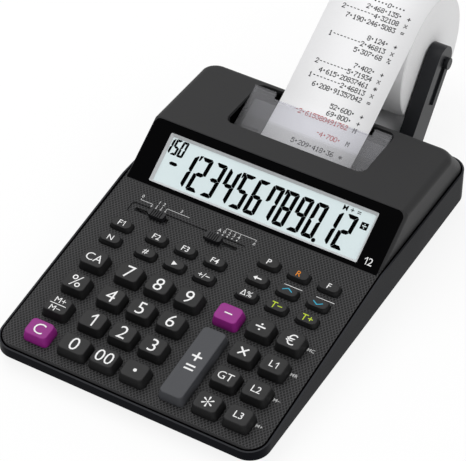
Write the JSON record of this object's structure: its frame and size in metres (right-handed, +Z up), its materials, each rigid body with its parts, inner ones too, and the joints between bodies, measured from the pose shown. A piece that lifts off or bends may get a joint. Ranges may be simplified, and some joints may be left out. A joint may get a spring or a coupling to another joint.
{
  "type": "printing desk calculator",
  "caption": "Wedge-shaped desk calculator with a keyboard, a tilted display, slide switches, a printer under a smoked cover and a paper roll carried on two arms behind.",
  "frame": {"origin": "on the desk, under the middle of the whole object, roll and arms included", "axes": "+X to the user's right, +Y away from the user towards the paper roll, +Z up"},
  "size_m": [0.165, 0.331, 0.0852],
  "materials": {
    "key_black": "fine satin",
    "key_purple": "satin",
    "key_grey": "satin",
    "switch_black": "ribbed satin",
    "case_charcoal": "fine moulded texture",
    "case_dark": "satin",
    "display_black": "polished",
    "lcd_glass": "pale reflective liquid crystal",
    "silicone": "matte",
    "circuit_board": "coated",
    "printer_grey": "moulded",
    "platen_rubber": "ground",
    "smoked_clear": "smoked clear plastic",
    "holder_dark": "satin",
    "paper": "uncoated white paper",
    "paper_roll": "uncoated white paper, wound",
    "foot_rubber": "matte"
  },
  "bodies": {
    "case": {"upper_case": "case_charcoal", "lower_case": "case_dark", "display_panel": "display_black", "lcd_module": "lcd_glass", "key_mat": "silicone", "main_board": "circuit_board", "printer_unit": "printer_grey", "roll_holder": "holder_dark", "roll_axle": "holder_dark", "paper_strip": "paper", "rubber_feet": "foot_rubber"},
    "key_clear_all": {"key_clear_all": "key_black"},
    "key_7": {"key_7": "key_black"},
    "key_8": {"key_8": "key_black"},
    "key_9": {"key_9": "key_black"},
    "key_minus": {"key_minus": "key_purple"},
    "key_divide": {"key_divide": "key_black"},
    "key_currency": {"key_currency": "key_black"},
    "key_percent": {"key_percent": "key_black"},
    "key_4": {"key_4": "key_black"},
    "key_5": {"key_5": "key_black"},
    "key_6": {"key_6": "key_black"},
    "key_multiply": {"key_multiply": "key_black"},
    "key_local_1": {"key_local_1": "key_black"},
    "key_mark": {"key_mark": "key_black"},
    "key_1": {"key_1": "key_black"},
    "key_2": {"key_2": "key_black"},
    "key_3": {"key_3": "key_black"},
    "key_grand_total": {"key_grand_total": "key_black"},
    "key_local_2": {"key_local_2": "key_black"},
    "key_clear": {"key_clear": "key_purple"},
    "key_0": {"key_0": "key_black"},
    "key_00": {"key_00": "key_black"},
    "key_point": {"key_point": "key_black"},
    "key_total": {"key_total": "key_black"},
    "key_local_3": {"key_local_3": "key_black"},
    "key_plus": {"key_plus": "key_grey"},
    "key_print": {"key_print": "key_black"},
    "key_reprint": {"key_reprint": "key_black"},
    "key_feed": {"key_feed": "key_black"},
    "key_time": {"key_time": "key_black"},
    "key_cost": {"key_cost": "key_black"},
    "key_sell": {"key_sell": "key_black"},
    "key_margin": {"key_margin": "key_black"},
    "key_correct": {"key_correct": "key_black"},
    "key_check_up": {"key_check_up": "key_black"},
    "key_check_down": {"key_check_down": "key_black"},
    "key_item": {"key_item": "key_black"},
    "key_count": {"key_count": "key_black"},
    "key_shift": {"key_shift": "key_black"},
    "key_sign": {"key_sign": "key_black"},
    "key_delta": {"key_delta": "key_black"},
    "key_tax_minus": {"key_tax_minus": "key_black"},
    "key_tax_plus": {"key_tax_plus": "key_black"},
    "power_switch": {"power_switch": "switch_black"},
    "rounding_switch": {"rounding_switch": "switch_black"},
    "battery_door": {"battery_door": "case_dark"},
    "printer_cover": {"printer_cover": "smoked_clear"},
    "paper_roll": {"paper_roll": "paper_roll"},
    "platen_roller": {"platen_roller": "platen_rubber"}
  },
  "joints": [
    {"name": "key_clear_all_press", "type": "slide", "parent": "case", "child": "key_clear_all", "axis": [0, -0.1181, 0.993], "range_m": [-0.0022, 0], "stiffness_N_per_m": 220},
    {"name": "key_7_press", "type": "slide", "parent": "case", "child": "key_7", "axis": [0, -0.1181, 0.993], "range_m": [-0.0022, 0], "stiffness_N_per_m": 220},
    {"name": "key_8_press", "type": "slide", "parent": "case", "child": "key_8", "axis": [0, -0.1181, 0.993], "range_m": [-0.0022, 0], "stiffness_N_per_m": 220},
    {"name": "key_9_press", "type": "slide", "parent": "case", "child": "key_9", "axis": [0, -0.1181, 0.993], "range_m": [-0.0022, 0], "stiffness_N_per_m": 220},
    {"name": "key_minus_press", "type": "slide", "parent": "case", "child": "key_minus", "axis": [0, -0.1181, 0.993], "range_m": [-0.0022, 0], "stiffness_N_per_m": 220},
    {"name": "key_divide_press", "type": "slide", "parent": "case", "child": "key_divide", "axis": [0, -0.1181, 0.993], "range_m": [-0.0022, 0], "stiffness_N_per_m": 220},
    {"name": "key_currency_press", "type": "slide", "parent": "case", "child": "key_currency", "axis": [0, -0.1181, 0.993], "range_m": [-0.0022, 0], "stiffness_N_per_m": 220},
    {"name": "key_percent_press", "type": "slide", "parent": "case", "child": "key_percent", "axis": [0, -0.1181, 0.993], "range_m": [-0.0022, 0], "stiffness_N_per_m": 220},
    {"name": "key_4_press", "type": "slide", "parent": "case", "child": "key_4", "axis": [0, -0.1181, 0.993], "range_m": [-0.0022, 0], "stiffness_N_per_m": 220},
    {"name": "key_5_press", "type": "slide", "parent": "case", "child": "key_5", "axis": [0, -0.1181, 0.993], "range_m": [-0.0022, 0], "stiffness_N_per_m": 220},
    {"name": "key_6_press", "type": "slide", "parent": "case", "child": "key_6", "axis": [0, -0.1181, 0.993], "range_m": [-0.0022, 0], "stiffness_N_per_m": 220},
    {"name": "key_multiply_press", "type": "slide", "parent": "case", "child": "key_multiply", "axis": [0, -0.1181, 0.993], "range_m": [-0.0022, 0], "stiffness_N_per_m": 220},
    {"name": "key_local_1_press", "type": "slide", "parent": "case", "child": "key_local_1", "axis": [0, -0.1181, 0.993], "range_m": [-0.0022, 0], "stiffness_N_per_m": 220},
    {"name": "key_mark_press", "type": "slide", "parent": "case", "child": "key_mark", "axis": [0, -0.1181, 0.993], "range_m": [-0.0022, 0], "stiffness_N_per_m": 220},
    {"name": "key_1_press", "type": "slide", "parent": "case", "child": "key_1", "axis": [0, -0.1181, 0.993], "range_m": [-0.0022, 0], "stiffness_N_per_m": 220},
    {"name": "key_2_press", "type": "slide", "parent": "case", "child": "key_2", "axis": [0, -0.1181, 0.993], "range_m": [-0.0022, 0], "stiffness_N_per_m": 220},
    {"name": "key_3_press", "type": "slide", "parent": "case", "child": "key_3", "axis": [0, -0.1181, 0.993], "range_m": [-0.0022, 0], "stiffness_N_per_m": 220},
    {"name": "key_grand_total_press", "type": "slide", "parent": "case", "child": "key_grand_total", "axis": [0, -0.1181, 0.993], "range_m": [-0.0022, 0], "stiffness_N_per_m": 220},
    {"name": "key_local_2_press", "type": "slide", "parent": "case", "child": "key_local_2", "axis": [0, -0.1181, 0.993], "range_m": [-0.0022, 0], "stiffness_N_per_m": 220},
    {"name": "key_clear_press", "type": "slide", "parent": "case", "child": "key_clear", "axis": [0, -0.1181, 0.993], "range_m": [-0.0022, 0], "stiffness_N_per_m": 220},
    {"name": "key_0_press", "type": "slide", "parent": "case", "child": "key_0", "axis": [0, -0.1181, 0.993], "range_m": [-0.0022, 0], "stiffness_N_per_m": 220},
    {"name": "key_00_press", "type": "slide", "parent": "case", "child": "key_00", "axis": [0, -0.1181, 0.993], "range_m": [-0.0022, 0], "stiffness_N_per_m": 220},
    {"name": "key_point_press", "type": "slide", "parent": "case", "child": "key_point", "axis": [0, -0.1181, 0.993], "range_m": [-0.0022, 0], "stiffness_N_per_m": 220},
    {"name": "key_total_press", "type": "slide", "parent": "case", "child": "key_total", "axis": [0, -0.1181, 0.993], "range_m": [-0.0022, 0], "stiffness_N_per_m": 220},
    {"name": "key_local_3_press", "type": "slide", "parent": "case", "child": "key_local_3", "axis": [0, -0.1181, 0.993], "range_m": [-0.0022, 0], "stiffness_N_per_m": 220},
    {"name": "key_plus_press", "type": "slide", "parent": "case", "child": "key_plus", "axis": [0, -0.1181, 0.993], "range_m": [-0.0022, 0], "stiffness_N_per_m": 220},
    {"name": "key_print_press", "type": "slide", "parent": "case", "child": "key_print", "axis": [0, -0.1181, 0.993], "range_m": [-0.0022, 0], "stiffness_N_per_m": 220},
    {"name": "key_reprint_press", "type": "slide", "parent": "case", "child": "key_reprint", "axis": [0, -0.1181, 0.993], "range_m": [-0.0022, 0], "stiffness_N_per_m": 220},
    {"name": "key_feed_press", "type": "slide", "parent": "case", "child": "key_feed", "axis": [0, -0.1181, 0.993], "range_m": [-0.0022, 0], "stiffness_N_per_m": 220},
    {"name": "key_time_press", "type": "slide", "parent": "case", "child": "key_time", "axis": [0, -0.1181, 0.993], "range_m": [-0.0022, 0], "stiffness_N_per_m": 220},
    {"name": "key_cost_press", "type": "slide", "parent": "case", "child": "key_cost", "axis": [0, -0.1181, 0.993], "range_m": [-0.0022, 0], "stiffness_N_per_m": 220},
    {"name": "key_sell_press", "type": "slide", "parent": "case", "child": "key_sell", "axis": [0, -0.1181, 0.993], "range_m": [-0.0022, 0], "stiffness_N_per_m": 220},
    {"name": "key_margin_press", "type": "slide", "parent": "case", "child": "key_margin", "axis": [0, -0.1181, 0.993], "range_m": [-0.0022, 0], "stiffness_N_per_m": 220},
    {"name": "key_correct_press", "type": "slide", "parent": "case", "child": "key_correct", "axis": [0, -0.1181, 0.993], "range_m": [-0.0022, 0], "stiffness_N_per_m": 220},
    {"name": "key_check_up_press", "type": "slide", "parent": "case", "child": "key_check_up", "axis": [0, -0.1181, 0.993], "range_m": [-0.0022, 0], "stiffness_N_per_m": 220},
    {"name": "key_check_down_press", "type": "slide", "parent": "case", "child": "key_check_down", "axis": [0, -0.1181, 0.993], "range_m": [-0.0022, 0], "stiffness_N_per_m": 220},
    {"name": "key_item_press", "type": "slide", "parent": "case", "child": "key_item", "axis": [0, -0.1181, 0.993], "range_m": [-0.0022, 0], "stiffness_N_per_m": 220},
    {"name": "key_count_press", "type": "slide", "parent": "case", "child": "key_count", "axis": [0, -0.1181, 0.993], "range_m": [-0.0022, 0], "stiffness_N_per_m": 220},
    {"name": "key_shift_press", "type": "slide", "parent": "case", "child": "key_shift", "axis": [0, -0.1181, 0.993], "range_m": [-0.0022, 0], "stiffness_N_per_m": 220},
    {"name": "key_sign_press", "type": "slide", "parent": "case", "child": "key_sign", "axis": [0, -0.1181, 0.993], "range_m": [-0.0022, 0], "stiffness_N_per_m": 220},
    {"name": "key_delta_press", "type": "slide", "parent": "case", "child": "key_delta", "axis": [0, -0.1181, 0.993], "range_m": [-0.0022, 0], "stiffness_N_per_m": 220},
    {"name": "key_tax_minus_press", "type": "slide", "parent": "case", "child": "key_tax_minus", "axis": [0, -0.1181, 0.993], "range_m": [-0.0022, 0], "stiffness_N_per_m": 220},
    {"name": "key_tax_plus_press", "type": "slide", "parent": "case", "child": "key_tax_plus", "axis": [0, -0.1181, 0.993], "range_m": [-0.0022, 0], "stiffness_N_per_m": 220},
    {"name": "power_switch_slide", "type": "slide", "parent": "case", "child": "power_switch", "axis": [1, 0, 0], "range_m": [-0.012, 0.004]},
    {"name": "rounding_switch_slide", "type": "slide", "parent": "case", "child": "rounding_switch", "axis": [1, 0, 0], "range_m": [-0.004, 0.012]},
    {"name": "battery_door_slide", "type": "slide", "parent": "case", "child": "battery_door", "axis": [0, -1, 0], "range_m": [0, 0.018]},
    {"name": "printer_cover_hinge", "type": "hinge", "parent": "case", "child": "printer_cover", "pos_m": [0, 0.0215, 0.03497], "axis": [1, 0, 0], "range_deg": [0, 70]},
    {"name": "paper_roll_spin", "type": "hinge", "parent": "case", "child": "paper_roll", "pos_m": [0.0015, 0.1275, 0.0465], "axis": [1, 0, 0], "continuous": true},
    {"name": "platen_spin", "type": "hinge", "parent": "case", "child": "platen_roller", "pos_m": [0.0015, 0.02606, 0.02834], "axis": [1, 0, 0], "continuous": true}
  ],
  "couplings": [
    {"joint": "platen_spin", "follows": "paper_roll_spin", "ratio": 6.3333}
  ]
}
